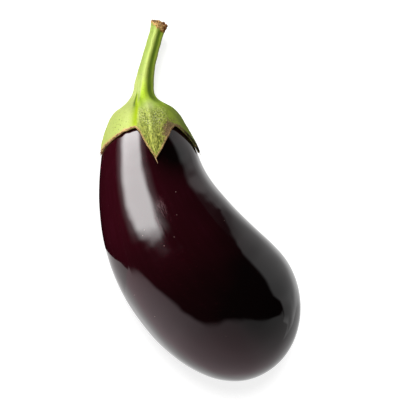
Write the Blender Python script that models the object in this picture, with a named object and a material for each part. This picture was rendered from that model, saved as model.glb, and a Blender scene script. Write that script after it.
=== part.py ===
"""An eggplant as picked, lying on its side: fruit, calyx and cut stem. Metres, +Z up."""
from math import acos, atan2, cos, radians, sin

import bmesh
import bpy
import numpy as np
from mathutils import Matrix, Vector

# Fruit: it grows along a bent centreline, from the stem end (share 0) to the blossom end (share 1).
# Before it is laid down, the centreline bends in the X-Y plane and the stem end is towards +Y.
FRUIT_LENGTH = 0.177
FRUIT_HEADINGS = (1.7, 18.5, 45.6, 63.6)  # degrees from -Y towards +X, evenly spaced from end to end
FRUIT_GIRTH = (0.0537, 0.0370, 0.0396, 0.0450, 0.0536, 0.0626)  # swelling, evenly spaced in latitude
DEPTH_SHARE = 0.96  # depth of a cross-section for its width
UNDERSIDE_SKEW = 0.11  # how far the lowest line lies towards the hollow side, for the radius
FRUIT_SEGMENTS = 48
FRUIT_RINGS = 34

# Lie: the middle plane leans so that the neck dips, and the underside is pressed flat where it rests,
# straight below the centre of mass.
LEAN_ANGLE = 8.0  # degrees
LEAN_TOWARDS = 118.0  # degrees from +X, the horizontal direction that dips
PIVOT = (-0.0033, -0.0342)  # the centre of mass, in the middle plane
REST_HEIGHT = 0.0410  # from the surface up to the centre of mass

GAP = 0.0004  # kept between neighbouring pieces

# Calyx: angles round the neck (0 faces +Z, 90 faces +X) of the notches between lobes, and the angle and
# reach over the skin of each lobe's tip.
NOTCH_ANGLES = (-14, 55, 125, 185, 246)
NOTCH_REACH = 0.0255
LOBE_TIPS = ((9, 0.0430), (90, 0.0430), (155, 0.0380), (215, 0.0400), (275, 0.0425))
LOBE_TAPER = 1.15  # over 1 draws the margins in towards the tip
CALYX_HOLE = 0.0066
CROWN_REACH = 0.015
CROWN_THICKNESS = 0.0058
LOBE_THICKNESS = 0.0015
CALYX_SEGMENTS = 80
CALYX_RINGS = 9

# Stem: the points that its middle runs through above the fruit's end, sideways and upwards, and its radius.
STEM_PATH = ((0.0, 0.0), (-0.0001, 0.013), (0.0018, 0.026), (0.0053, 0.038), (0.0091, 0.0505))
STEM_RADII = (0.0062, 0.0058, 0.0047, 0.0042, 0.0048)
STEM_POINTS = 17

# Colour, roughness
SKIN_FINISH = ((0.020, 0.002, 0.005, 1.0), 0.12)
CALYX_FINISH = ((0.330, 0.480, 0.110, 1.0), 0.55)
STEM_FINISH = ((0.420, 0.560, 0.090, 1.0), 0.50)


def smooth_through(values):
    """The polynomial that passes through the values at even steps from 0 to 1."""
    steps = np.linspace(0.0, 1.0, len(values))
    return np.poly1d(np.polyfit(steps, values, len(values) - 1))


def walk_centreline():
    """Points along the centreline, found by walking it in short steps in the direction that it heads."""
    shares = np.linspace(0.0, 1.0, 401)
    heading = np.radians(smooth_through(FRUIT_HEADINGS)(shares))
    step = FRUIT_LENGTH / (len(shares) - 1)
    middle = (heading[1:] + heading[:-1]) / 2
    across = np.concatenate(([0.0], np.cumsum(np.sin(middle)))) * step
    along = np.concatenate(([0.0], np.cumsum(-np.cos(middle)))) * step
    return shares, heading, across, along


SHARES, HEADING, ACROSS, ALONG = walk_centreline()
GIRTH = smooth_through(FRUIT_GIRTH)
STEM_END = Vector((-0.0334, 0.0552, 0.0))


def fruit_point(colatitude, around):
    """A point of the skin: colatitude 0 is the stem end, around 0 is the +X side and a quarter turn is +Z."""
    share = (1 - cos(colatitude)) / 2
    radius = sin(colatitude) * GIRTH(share)
    heading = np.interp(share, SHARES, HEADING)
    middle = STEM_END + Vector((np.interp(share, SHARES, ACROSS), np.interp(share, SHARES, ALONG), 0.0))
    sideways = Vector((cos(heading), sin(heading), 0.0))
    rise = radius * DEPTH_SHARE * sin(around)
    if rise < 0:
        rise *= 1 + UNDERSIDE_SKEW * cos(around)
    return middle + sideways * (radius * cos(around)) + Vector((0.0, 0.0, rise))


def fruit_normal(colatitude, around):
    """The outward direction of the skin."""
    small = 1e-3
    down = fruit_point(colatitude + small, around) - fruit_point(max(colatitude - small, 1e-6), around)
    round_it = fruit_point(colatitude, around + small) - fruit_point(colatitude, around - small)
    return round_it.cross(down).normalized()


def side_of_shoulder(around, steps=60):
    """Colatitudes down one side of the shoulder, and how far each lies from the stem end over the skin."""
    colatitudes = np.linspace(0.0, 1.2, steps)
    points = [fruit_point(colatitude, around) for colatitude in colatitudes]
    lengths = [(there - here).length for here, there in zip(points, points[1:])]
    return colatitudes, np.concatenate(([0.0], np.cumsum(lengths)))


def lobe_reach(angle):
    """How far the calyx reaches from the crown at an angle round the neck, in degrees."""
    for number, (tip_angle, tip_reach) in enumerate(LOBE_TIPS):
        before = NOTCH_ANGLES[number]
        after = NOTCH_ANGLES[(number + 1) % len(LOBE_TIPS)]
        after += 360 if after < before else 0
        turned = (angle - before) % 360
        if turned <= after - before:
            rising = turned / (tip_angle - before)
            falling = (after - before - turned) / (after - tip_angle)
            return NOTCH_REACH + (tip_reach - NOTCH_REACH) * min(rising, falling) ** LOBE_TAPER
    return NOTCH_REACH


def make_material(name, colour, roughness):
    material = bpy.data.materials.new(name)
    material.use_nodes = True
    shader = material.node_tree.nodes["Principled BSDF"]
    shader.inputs["Base Color"].default_value = colour
    shader.inputs["Roughness"].default_value = roughness
    shader.inputs["Metallic"].default_value = 0.0
    return material


def add_part(name, mesh, finish, collection, parent):
    """A named object for one piece, shaded smooth, with its own material."""
    mesh.materials.append(make_material(name + "_finish", *finish))
    part = bpy.data.objects.new(name, mesh)
    collection.objects.link(part)
    part.parent = parent
    return part


def make_fruit_mesh():
    """A sphere with its poles at the two ends, each point moved to its place on the skin."""
    bm = bmesh.new()
    bmesh.ops.create_uvsphere(bm, u_segments=FRUIT_SEGMENTS, v_segments=FRUIT_RINGS, radius=1.0)
    for vert in bm.verts:
        colatitude = acos(max(-1.0, min(1.0, vert.co.z)))
        vert.co = fruit_point(colatitude, atan2(vert.co.y, vert.co.x))
    bmesh.ops.recalc_face_normals(bm, faces=bm.faces)
    mesh = bpy.data.meshes.new("fruit")
    bm.to_mesh(mesh)
    bm.free()
    mesh.shade_smooth()
    return mesh


def press_flat(fruit, collection):
    """Cuts the underside off level at the surface that the fruit rests on."""
    bpy.ops.mesh.primitive_cube_add(size=1.0, location=(0.0, 0.0, -0.01))
    cutter = bpy.context.object
    cutter.name = "rest_spot_cutter"
    cutter.data.transform(Matrix.Diagonal((0.1, 0.1, 0.02, 1.0)))
    for old_home in cutter.users_collection:
        old_home.objects.unlink(cutter)
    collection.objects.link(cutter)
    cutter.hide_render = True
    cutter.display_type = "WIRE"
    cut = fruit.modifiers.new("Rest spot", "BOOLEAN")
    cut.operation = "DIFFERENCE"
    cut.solver = "EXACT"
    cut.object = cutter


def make_calyx_mesh():
    """A ring-shaped sheet of rings and segments laid over the shoulder, its lower and upper face joined."""
    bm = bmesh.new()
    layers = {"under": [], "upper": []}
    for segment in range(CALYX_SEGMENTS):
        angle = 360.0 * segment / CALYX_SEGMENTS
        around = radians(90.0 - angle)
        colatitudes, lengths = side_of_shoulder(around)
        under = []
        upper = []
        for ring in range(CALYX_RINGS + 1):
            out = ring / CALYX_RINGS
            reach = CALYX_HOLE + (lobe_reach(angle) - CALYX_HOLE) * out
            colatitude = float(np.interp(reach, lengths, colatitudes))
            skin = fruit_point(colatitude, around)
            outward = fruit_normal(colatitude, around)
            crown = max(0.0, 1.0 - (reach - CALYX_HOLE) / (CROWN_REACH - CALYX_HOLE))
            thickness = LOBE_THICKNESS + (CROWN_THICKNESS - LOBE_THICKNESS) * crown**1.5
            under.append(bm.verts.new(skin + outward * GAP))
            upper.append(bm.verts.new(skin + outward * (GAP + thickness)))
        layers["under"].append(under)
        layers["upper"].append(upper)
    loop = [layers["under"][i] + layers["upper"][i][::-1] for i in range(CALYX_SEGMENTS)]
    for here, there in zip(loop, loop[1:] + loop[:1]):
        for place in range(len(here)):
            after = (place + 1) % len(here)
            bm.faces.new((here[place], here[after], there[after], there[place]))
    bmesh.ops.recalc_face_normals(bm, faces=bm.faces)
    mesh = bpy.data.meshes.new("calyx")
    bm.to_mesh(mesh)
    bm.free()
    mesh.set_sharp_from_angle(angle=radians(50))
    return mesh


def make_stem_curve():
    """A tube along a smooth line through the stem's own points, thick at its foot and at its cut end."""
    curve = bpy.data.curves.new("stem", "CURVE")
    curve.dimensions = "3D"
    curve.bevel_depth = 1.0
    curve.bevel_resolution = 6
    curve.use_fill_caps = True
    spline = curve.splines.new("POLY")
    spline.points.add(STEM_POINTS - 1)
    sideways = smooth_through([point[0] for point in STEM_PATH])
    upwards = smooth_through([point[1] for point in STEM_PATH])
    thickness = smooth_through(STEM_RADII)
    foot = STEM_END + Vector((0.0, GAP, 0.0))
    for number, point in enumerate(spline.points):
        share = number / (STEM_POINTS - 1)
        place = foot + Vector((sideways(share), upwards(share), 0.0))
        point.co = (*place, 1.0)
        point.radius = thickness(share)
    return curve


def main():
    for thing in list(bpy.data.objects):
        bpy.data.objects.remove(thing)
    parts = bpy.data.collections.new("eggplant")
    cutters = bpy.data.collections.new("cutters")
    bpy.context.scene.collection.children.link(parts)
    bpy.context.scene.collection.children.link(cutters)

    lie = bpy.data.objects.new("lie", None)
    parts.objects.link(lie)
    dip = radians(LEAN_TOWARDS)
    lean = Matrix.Rotation(radians(LEAN_ANGLE), 4, Vector((-sin(dip), cos(dip), 0.0)))
    pivot = Vector((*PIVOT, 0.0))
    up = Vector((0.0, 0.0, REST_HEIGHT))
    lie.matrix_world = Matrix.Translation(up) @ lean @ Matrix.Translation(-pivot)
    bpy.context.view_layer.update()

    fruit = add_part("fruit", make_fruit_mesh(), SKIN_FINISH, parts, lie)
    add_part("calyx", make_calyx_mesh(), CALYX_FINISH, parts, lie)
    add_part("stem", make_stem_curve(), STEM_FINISH, parts, lie)
    press_flat(fruit, cutters)


main()
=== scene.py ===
# %% [markdown]
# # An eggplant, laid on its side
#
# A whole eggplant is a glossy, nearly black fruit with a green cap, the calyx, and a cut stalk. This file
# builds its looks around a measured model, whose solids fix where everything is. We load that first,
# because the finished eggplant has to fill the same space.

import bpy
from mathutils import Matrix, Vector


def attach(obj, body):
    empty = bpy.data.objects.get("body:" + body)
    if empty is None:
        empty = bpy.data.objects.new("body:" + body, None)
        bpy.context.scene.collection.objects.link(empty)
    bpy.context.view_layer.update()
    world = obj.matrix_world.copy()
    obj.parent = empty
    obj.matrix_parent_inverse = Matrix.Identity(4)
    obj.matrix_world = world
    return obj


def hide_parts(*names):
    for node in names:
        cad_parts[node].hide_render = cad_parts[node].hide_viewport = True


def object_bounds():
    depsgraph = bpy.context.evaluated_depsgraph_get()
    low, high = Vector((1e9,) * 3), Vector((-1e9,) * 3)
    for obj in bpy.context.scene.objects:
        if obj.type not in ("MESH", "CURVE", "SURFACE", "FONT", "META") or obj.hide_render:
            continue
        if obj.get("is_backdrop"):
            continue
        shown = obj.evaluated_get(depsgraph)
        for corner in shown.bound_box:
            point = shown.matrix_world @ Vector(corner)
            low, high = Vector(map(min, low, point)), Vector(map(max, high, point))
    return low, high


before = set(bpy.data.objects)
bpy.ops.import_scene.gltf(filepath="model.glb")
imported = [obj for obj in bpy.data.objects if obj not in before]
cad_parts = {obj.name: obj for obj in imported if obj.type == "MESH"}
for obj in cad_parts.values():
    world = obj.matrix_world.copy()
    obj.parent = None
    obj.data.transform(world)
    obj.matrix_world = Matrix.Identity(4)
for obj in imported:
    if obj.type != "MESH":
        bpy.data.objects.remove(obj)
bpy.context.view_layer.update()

# %% [markdown]
# ## How the eggplant lies
#
# It is easiest to shape the eggplant upright in thought: stem towards +Y, with its bend in the X-Y plane
# and +Z out of its upper side. The real one lies with that plane leaning a little, so that its neck dips
# towards the table and its weight is over the spot that it rests on. One matrix says all of that. Each
# piece is modelled in the easy pose, and then the matrix moves its points, so that every object's own place
# in the world stays plain.

# %% The matrix that lays it down
from math import cos, pi, radians, sin

import bmesh
import bpy
import numpy as np
from mathutils import Matrix, Vector

MM = 0.001
LEAN_ANGLE = 8.0  # degrees
LEAN_TOWARDS = 118.0  # degrees from +X, the way that the plane dips
WEIGHT_CENTRE = (-3.3 * MM, -34.2 * MM)
REST_HEIGHT = 41.0 * MM

dip = radians(LEAN_TOWARDS)
lean = Matrix.Rotation(radians(LEAN_ANGLE), 4, Vector((-sin(dip), cos(dip), 0.0)))
to_weight_centre = Matrix.Translation((-WEIGHT_CENTRE[0], -WEIGHT_CENTRE[1], 0))
laid_down = Matrix.Translation((0, 0, REST_HEIGHT)) @ lean @ to_weight_centre
print("upper side of the eggplant faces", [round(x, 3) for x in laid_down.to_3x3() @ Vector((0, 0, 1))])

# %% [markdown]
# ## The camera
#
# The camera looks straight at the plane that the eggplant bends in, so its bend shows in full. A long lens
# from a good distance keeps the outline true, where a short lens close by would swell the middle. The
# distance follows from the lens and from how much should fit across the picture.

# %% Place the camera
VIEW_WIDTH = 238 * MM  # across the picture, at the eggplant's middle plane
LENS = 120.0  # mm, on a 36 mm wide sensor

camera_data = bpy.data.cameras.new("camera")
camera_data.lens = LENS
camera_data.sensor_width = 36.0
camera = bpy.data.objects.new("camera", camera_data)
bpy.context.scene.collection.objects.link(camera)
view_distance = LENS / camera_data.sensor_width * VIEW_WIDTH
camera.matrix_world = laid_down @ Matrix.Translation((0, 0, view_distance))
bpy.context.scene.camera = camera
print("camera is", round(view_distance, 3), "m from the middle plane")

# %% [markdown]
# ## The line that the fruit grows along
#
# The fruit is a sphere whose points are moved. Going down the sphere becomes going along a bent line, and
# the sphere's radius becomes a girth that changes from the neck to the belly. Both are smooth curves
# through a few values, the same ones that the measured solid was made from. The line itself is found by
# walking it in short steps, each in the direction that it heads there.

# %% Walk the line
FRUIT_LENGTH = 177 * MM
FRUIT_HEADINGS = (1.7, 18.5, 45.6, 63.6)  # degrees from -Y towards +X, evenly spaced along the line
STEM_END = np.array((-33.4, 55.2, 0.0)) * MM
LINE_STEPS = 400


def smooth_through(values):
    """The polynomial through values at even steps from 0 to 1."""
    steps = np.linspace(0.0, 1.0, len(values))
    return np.poly1d(np.polyfit(steps, values, len(values) - 1))


line_share = np.linspace(0.0, 1.0, LINE_STEPS + 1)
line_heading = np.radians(smooth_through(FRUIT_HEADINGS)(line_share))
line_step = FRUIT_LENGTH / LINE_STEPS
line_middle = (line_heading[1:] + line_heading[:-1]) / 2
line_across = STEM_END[0] + np.concatenate(([0.0], np.cumsum(np.sin(line_middle)))) * line_step
line_along = STEM_END[1] - np.concatenate(([0.0], np.cumsum(np.cos(line_middle)))) * line_step
print("the line bends by", round(FRUIT_HEADINGS[-1] - FRUIT_HEADINGS[0], 1), "degrees from end to end")

# %% [markdown]
# ## Any point of the skin
#
# A place on the sphere is two angles: how far down from the stem end, and how far round. One function turns
# them into a point of the skin. Another finds the way that the skin faces, across two short steps over it.
# Both work on whole arrays at once, which keeps a fine mesh quick.

# %% Points and directions of the skin
FRUIT_GIRTH = (53.7, 37.0, 39.6, 45.0, 53.6, 62.6)  # mm, evenly spaced from end to end
NECK_BULGE = 1.5 * MM  # the neck is a little fuller on the +X side
NECK_SHARE = 0.15  # where it is fullest, and over how much of the line that fades
NECK_SPREAD = 0.07
DEPTH_SHARE = 0.96  # depth of a cross-section for its width
UNDERSIDE_SKEW = 0.11  # how far the lowest line lies towards the hollow side, for the radius


def skin_point(colatitude, around):
    """Points of the skin: colatitude 0 is the stem end; around 0 is the +X side, a quarter turn is +Z."""
    share = (1 - np.cos(colatitude)) / 2
    radius = np.sin(colatitude) * smooth_through(FRUIT_GIRTH)(share) * MM
    heading = np.interp(share, line_share, line_heading)
    rise = radius * DEPTH_SHARE * np.sin(around)
    rise = np.where(rise < 0, rise * (1 + UNDERSIDE_SKEW * np.cos(around)), rise)
    bulge = NECK_BULGE * np.exp(-(((share - NECK_SHARE) / NECK_SPREAD) ** 2))
    bulge = bulge * np.maximum(np.cos(around), 0) ** 2
    sideways = radius * np.cos(around) + bulge
    x = np.interp(share, line_share, line_across) + np.cos(heading) * sideways
    y = np.interp(share, line_share, line_along) + np.sin(heading) * sideways
    return np.stack((x, y, rise), axis=-1)


def unit(vectors):
    return vectors / np.linalg.norm(vectors, axis=-1, keepdims=True)


def skin_normal(colatitude, around):
    """Which way the skin faces, from two short steps over it."""
    small = 1e-3
    below = skin_point(colatitude + small, around)
    above = skin_point(np.maximum(colatitude - small, 1e-5), around)
    onward = skin_point(colatitude, around + small)
    back = skin_point(colatitude, around - small)
    return unit(np.cross(onward - back, below - above))


belly = skin_point(np.full(2, pi / 2), np.array((0, pi)))
print("the belly is", round(1000 * np.linalg.norm(belly[0] - belly[1])), "mm across halfway along")

# %% [markdown]
# ## Lumps in the skin
#
# A shiny fruit shows its slightest unevenness, because each reflection bends over it. A real eggplant is a
# little lumpy, by a tenth of a millimetre or two over a few centimetres. A sum of gentle waves in random
# directions gives that. The random numbers are seeded, so that it comes out the same each time. The same
# function makes the wrinkles of the cap and the ragged crust of the cut end further on.

# %% Lumps as a sum of waves
def make_waves(seed, count, shortest, longest, height):
    """A function of points that sums waves of random direction, between two wavelengths in metres."""
    random = np.random.default_rng(seed)
    directions = unit(random.normal(size=(count, 3)))
    lengths = np.exp(random.uniform(np.log(shortest), np.log(longest), count))
    phases = random.uniform(0, 2 * pi, count)
    heights = height * lengths / longest / np.sqrt(count / 2)

    def waves(points):
        total = np.zeros(points.shape[:-1])
        for direction, length, phase, one_height in zip(directions, lengths, phases, heights):
            total += one_height * np.sin(points @ direction * (2 * pi / length) + phase)
        return total

    return waves


skin_lumps = make_waves(seed=7, count=26, shortest=14 * MM, longest=45 * MM, height=0.10 * MM)
skin_dimples = make_waves(seed=4, count=40, shortest=5 * MM, longest=12 * MM, height=0.012 * MM)
print("lumps on both sides of the belly, mm:", np.round(skin_lumps(belly) / MM, 2))

# %% [markdown]
# ## Tools for meshes
#
# Every piece is a grid of points from arrays, joined by quads. One function makes the object and lays it
# down with the matrix. Another stores one number for each point under a name, which a material can read:
# that is how a colour can follow a shape. Smooth steps and soft spots are the two forms that most of it is
# made of.

# %% Mesh tools
def add_piece(name, points, faces):
    """A new mesh object from points in the easy pose. It is shaded smooth but for sharp corners."""
    mesh = bpy.data.meshes.new(name)
    mesh.from_pydata(points.reshape(-1, 3).tolist(), [], faces)
    mesh.transform(laid_down)
    work = bmesh.new()
    work.from_mesh(mesh)
    bmesh.ops.recalc_face_normals(work, faces=work.faces)
    work.to_mesh(mesh)
    work.free()
    mesh.set_sharp_from_angle(angle=radians(55))
    piece = bpy.data.objects.new(name, mesh)
    bpy.context.scene.collection.objects.link(piece)
    print(name, "has", len(mesh.vertices), "points")
    return piece


def add_numbers(piece, numbers):
    """Stores a number for each point of a mesh, for each name in a dictionary."""
    for name, values in numbers.items():
        attribute = piece.data.attributes.new(name, "FLOAT", "POINT")
        attribute.data.foreach_set("value", np.asarray(values, dtype=np.float32).ravel())


def ring_faces(rows, columns, first=0):
    """Quads between rows of points that each close on themselves."""
    faces = []
    for row in range(rows - 1):
        for column in range(columns):
            after = (column + 1) % columns
            here = first + row * columns
            there = here + columns
            faces.append((here + column, there + column, there + after, here + after))
    return faces


def soft_step(value, start, end):
    """0 before start and 1 after end, with a smooth rise between them."""
    share = np.clip((value - start) / (end - start), 0, 1)
    return share * share * (3 - 2 * share)


def soft_spot(points, place, size):
    """1 at a place on the upper side and less away from it. place and size are x and y in mm, easy pose."""
    apart = (points[..., :2] / MM - place) / size
    return np.exp(-(apart**2).sum(axis=-1)) * (points[..., 2] > 0)


print("halfway up a soft step:", soft_step(0.5, 0, 1))

# %% [markdown]
# ## The skin, with its scar
#
# Rows of points go round the fruit, from the stem end to the blossom end. The blossom end keeps the scar
# where the flower fell off: a small corky dent with a low rim, a little towards the underside. Lumps,
# dimples and dent add up to one height, by which each point moves the way that the skin faces there.

# %% Points of the fruit
FRUIT_ROWS = 300
FRUIT_COLUMNS = 280
SCAR_PLACE = (radians(172.0), radians(-75.0))
SCAR_RADIUS = 4.0 * MM
SCAR_DEPTH = 1.3 * MM
SCAR_RIM = 0.39 * MM

colatitudes = np.linspace(0, pi, FRUIT_ROWS + 2)[1:-1]
arounds = np.arange(FRUIT_COLUMNS) * 2 * pi / FRUIT_COLUMNS
row_grid, column_grid = np.meshgrid(colatitudes, arounds, indexing="ij")
even_skin = skin_point(row_grid, column_grid)
scar_distance = np.linalg.norm(even_skin - skin_point(*SCAR_PLACE), axis=-1) / SCAR_RADIUS
dent = SCAR_RIM * np.exp(-((scar_distance - 1.5) ** 2) * 4) - SCAR_DEPTH * np.exp(-(scar_distance**2))
unevenness = skin_lumps(even_skin) + skin_dimples(even_skin) + dent
skin = even_skin + skin_normal(row_grid, column_grid) * unevenness[..., None]
print("the skin is uneven from", round(unevenness.min() / MM, 2), "to", round(unevenness.max() / MM, 2), "mm")

# %% [markdown]
# ## The spot that it rests on
#
# The grid still has a small hole at each end, so one more point closes each of them with triangles. Where
# the skin would go below the table it is pressed flat, which makes the small flat spot that the eggplant
# rests on.

# %% Press it flat and close it
ends = skin_point(np.array((1e-5, pi - 1e-5)), np.zeros(2))
for end, row in ((0, 0), (1, -1)):
    ends[end] += skin[row].mean(axis=0) - even_skin[row].mean(axis=0)
fruit_points = np.concatenate((skin.reshape(-1, 3), ends))
to_world = np.array(laid_down)
height = fruit_points @ to_world[2, :3] + to_world[2, 3]
fruit_points = fruit_points - np.minimum(height, 0.0)[:, None] * to_world[2, :3]

fruit_faces = ring_faces(FRUIT_ROWS, FRUIT_COLUMNS)
last_row = (FRUIT_ROWS - 1) * FRUIT_COLUMNS
stem_pole = FRUIT_ROWS * FRUIT_COLUMNS
for column in range(FRUIT_COLUMNS):
    after = (column + 1) % FRUIT_COLUMNS
    fruit_faces.append((stem_pole, column, after))
    fruit_faces.append((stem_pole + 1, last_row + after, last_row + column))
fruit = add_piece("eggplant_fruit", fruit_points, fruit_faces)
print("pressed flat:", int((height < 0).sum()), "points")

# %% [markdown]
# ## Where the skin differs
#
# The peel is painted from dark red-purple at the neck and on the side towards the softbox to black towards
# the belly and the far side: partly its own ripening, partly painted shade. Beside the cap it is painted
# darker still, a painted shadow of the front lobe. Streaks need to know how far round and along a point is.
# On the upper side the wax is rubbed dull in one small patch, and the scar is cork. Each of these is one
# number for every point.

# %% Store numbers on the fruit
# painted shadow of the front lobe, which darkens the peel beside the cap
PAINTED_SHADOW_PLACE = ((-17, 27), (13, 13))  # mm in the easy pose: x and y, then how far it spreads
RUBBED_PLACE = ((-21, -8), (4.5, 9))
STREAK_SLOWNESS = 0.1  # lengthways the streaks change this much more slowly, so that they come out long

# painted shade, partly ripening: the peel darkens away from the softbox, along x - 0.8 y
ripeness_and_shade = soft_step(fruit_points[:, 0] - 0.8 * fruit_points[:, 1], -78 * MM, 80 * MM)
ripeness_and_shade *= 1 - 0.4 * soft_step(-fruit_points[:, 1], 66 * MM, 92 * MM)
# painted shadow of the front lobe
ripeness_and_shade += 0.8 * soft_spot(fruit_points, *PAINTED_SHADOW_PLACE)
fruit_numbers = {
    "scar": np.append(np.exp(-(scar_distance**2) * 0.7), (0, 1)),
    "along": np.append(row_grid / pi, (0, 1)) * STREAK_SLOWNESS,
    "east": np.append(np.cos(column_grid) * np.sin(row_grid), (0, 0)),
    "north": np.append(np.sin(column_grid) * np.sin(row_grid), (0, 0)),
    "ripeness_and_shade": ripeness_and_shade,
    "rubbed": soft_spot(fruit_points, *RUBBED_PLACE),
}
add_numbers(fruit, fruit_numbers)
print("ripeness runs from", round(ripeness_and_shade.min(), 2), "to", round(ripeness_and_shade.max(), 2))

# %% [markdown]
# ## The green cap and its stalk
#
# The calyx is the flower's old green cup. Its five lobes lie over the shoulder like a star, and it runs
# without a seam into the stalk. So both are cut from one surface: rings of points from the stalk's cut end
# down to the edge of the lobes, in the same columns all the way. First come the lobes' outline and how far
# each one stands off the skin, as a list of places round the neck: a notch, a tip, a notch, and so on. The
# columns crowd towards each tip, so that it comes out pointed.

# %% Where the lobes end
# degrees round the neck (0 faces +Z, 90 faces +X), then in mm: reach over the skin from the stalk,
# lift off the skin, thickness, how wide the edge has dried; last, how hollow the margin is after it
CAP_EDGE = (
    (-10, 26.8, 0.7, 1.4, 0.8, 1.15),  # notch
    (11, 46.6, 0.2, 1.5, 0.8, 1.15),  # tip
    (45, 27.0, 0.7, 1.5, 1.0, 1.5),
    (83, 45.0, 0.3, 1.1, 2.6, 1.3),
    (116, 26.5, 0.6, 1.3, 0.9, 1.15),
    (150, 42.0, 1.0, 1.4, 1.0, 1.15),
    (184, 26.0, 0.6, 1.3, 0.7, 1.15),
    (217, 41.0, 0.8, 1.2, 1.0, 1.15),
    (250, 26.5, 0.2, 0.9, 0.7, 1.15),
    (281, 41.5, 0.1, 0.5, 2.4, 1.15),
    (350, 26.8, 0.7, 1.4, 0.8, 1.15),
)
COLUMNS_PER_SIDE = 34
CROWDING = 1.25
EDGE_WOBBLE = 0.30 * MM
WOBBLES = 60  # round the whole edge

edge_angle, edge_reach, edge_lift, edge_thickness, edge_dried, edge_hollow = np.array(CAP_EDGE, dtype=float).T
edge_reach *= MM
edge_lift *= MM
side_share = np.linspace(0, 1, COLUMNS_PER_SIDE, endpoint=False)
angle, reach_end, lift = [], [], []
for side in range(10):
    towards_tip = side % 2 == 0
    turned = 1 - (1 - side_share) ** CROWDING if towards_tip else side_share**CROWDING
    out = turned if towards_tip else 1 - turned
    low, high = sorted((edge_reach[side], edge_reach[side + 1]))
    angle.append(edge_angle[side] + (edge_angle[side + 1] - edge_angle[side]) * turned)
    reach_end.append(low + (high - low) * out ** edge_hollow[side])
    lift.append(edge_lift[side] + (edge_lift[side + 1] - edge_lift[side]) * soft_step(turned, 0, 1))
angle, reach_end, lift = (np.concatenate(parts) for parts in (angle, reach_end, lift))
columns = len(angle)
thickness = np.interp(angle, edge_angle, edge_thickness) * MM
wobbles = np.random.default_rng(3).normal(size=WOBBLES + 1)
wobbles[-1] = wobbles[0]
reach_end = reach_end + EDGE_WOBBLE * np.interp(angle, np.linspace(-10, 350, WOBBLES + 1), wobbles)
print("columns round the cap:", columns)

# %% [markdown]
# ## The stalk's own path
#
# The stalk is a tube along a gently bent line, thick at its foot and again at its cut end. The path keeps
# to within a millimetre of the measured solid's, and the radii follow the real stalk's swellings more
# closely. A ring of the tube has a point for each column.

# %% Rings of the stalk
STALK_PATH = ((0.0, 0.0), (0.1, 13.0), (2.5, 26.0), (5.8, 38.0), (9.2, 50.5))  # mm, sideways and up
STALK_HEIGHTS = (0, 10, 13, 16.2, 18.6, 23, 28, 36, 43, 47, 50.5)
STALK_RADII = (6.4, 6.1, 5.75, 5.35, 5.05, 4.72, 4.4, 4.2, 4.2, 4.35, 4.7)
FLARE_TOP = 0.25  # share of the stalk's path
STALK_ROWS = 100

path_sideways = smooth_through([point[0] for point in STALK_PATH])
path_upwards = smooth_through([point[1] for point in STALK_PATH])
outward_x = np.sin(np.radians(angle))
outward_z = np.cos(np.radians(angle))


def stalk_ring(share, radius):
    """Points round the stalk at a share of its path, and the way that the path runs there."""
    tangent = np.array((path_sideways.deriv()(share), path_upwards.deriv()(share), 0.0))
    tangent = tangent / np.linalg.norm(tangent)
    across = np.array((tangent[1], -tangent[0], 0.0))
    centre = STEM_END + np.array((path_sideways(share), path_upwards(share), 0.0)) * MM
    spokes = outward_x[:, None] * across + outward_z[:, None] * np.array((0, 0, 1))
    return centre + spokes * radius, tangent


path_shares = np.linspace(1, FLARE_TOP, STALK_ROWS)
row_height = path_upwards(path_shares)
row_radius = np.interp(row_height, STALK_HEIGHTS, STALK_RADII) * MM
rows = [stalk_ring(share, radius)[0] for share, radius in zip(path_shares, row_radius)]
print("the stalk is", round(2 * row_radius.min() / MM, 1), "mm across where it is thinnest")

# %% [markdown]
# ## Over the shoulder
#
# The cap follows the skin. A table of lengths down the shoulder, one for each column, tells which angle on
# the fruit belongs to a reach in millimetres. The cap's outer face lies a thickness above that, more near
# the stalk, where the cap is fleshy, and a little more where a lobe has lifted off the skin.

# %% Points over the skin
FLARE_REACH = 13.5 * MM
CROWN_SWELL = 1.5 * MM  # the cap is this much thicker near the stalk
SKIN_GAP = 0.2 * MM

around_neck = np.radians(90 - angle)
reach_colatitudes = np.linspace(0.002, 1.3, 400)
reach_grid, column_arounds = np.meshgrid(reach_colatitudes, around_neck, indexing="ij")
steps = np.linalg.norm(np.diff(skin_point(reach_grid, column_arounds), axis=0), axis=-1)
reach_table = np.concatenate((np.zeros((1, columns)), np.cumsum(steps, axis=0)))


def over_skin(reach, offset):
    """Points at a reach over the skin and an offset above it, one for each column."""
    pairs = zip(reach, reach_table.T)
    places = np.array([np.interp(one_reach, lengths, reach_colatitudes) for one_reach, lengths in pairs])
    return skin_point(places, around_neck) + skin_normal(places, around_neck) * offset[:, None]


def cap_offset(reach, share):
    """How far the outer face is from the skin. share is 0 at the flare and 1 at the lobe's edge."""
    fleshy = thickness * (1 + soft_step(-reach, -32 * MM, -17 * MM))
    crown = CROWN_SWELL * soft_step(-reach, -26 * MM, -13 * MM)
    return fleshy + crown + SKIN_GAP + lift * soft_step(share, 0.15, 1.0)


full = np.ones(columns)
print("the cap is", round(cap_offset(full * FLARE_REACH, 0).mean() / MM, 1), "mm thick at the flare")

# %% [markdown]
# ## From stalk to lobe
#
# Each column starts as a line down the stalk, swings outwards in a smooth flare, and then follows the skin.
# The flare is a cubic curve between the two, the same kind as in a drawing program, with one handle down
# the stalk and one along the skin.

# %% The smooth surface of stalk and cap
STALK_HANDLE = 7.0 * MM
SKIN_HANDLE = 5.5 * MM
FLARE_ROWS = 30
LOBE_ROWS = 66

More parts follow.
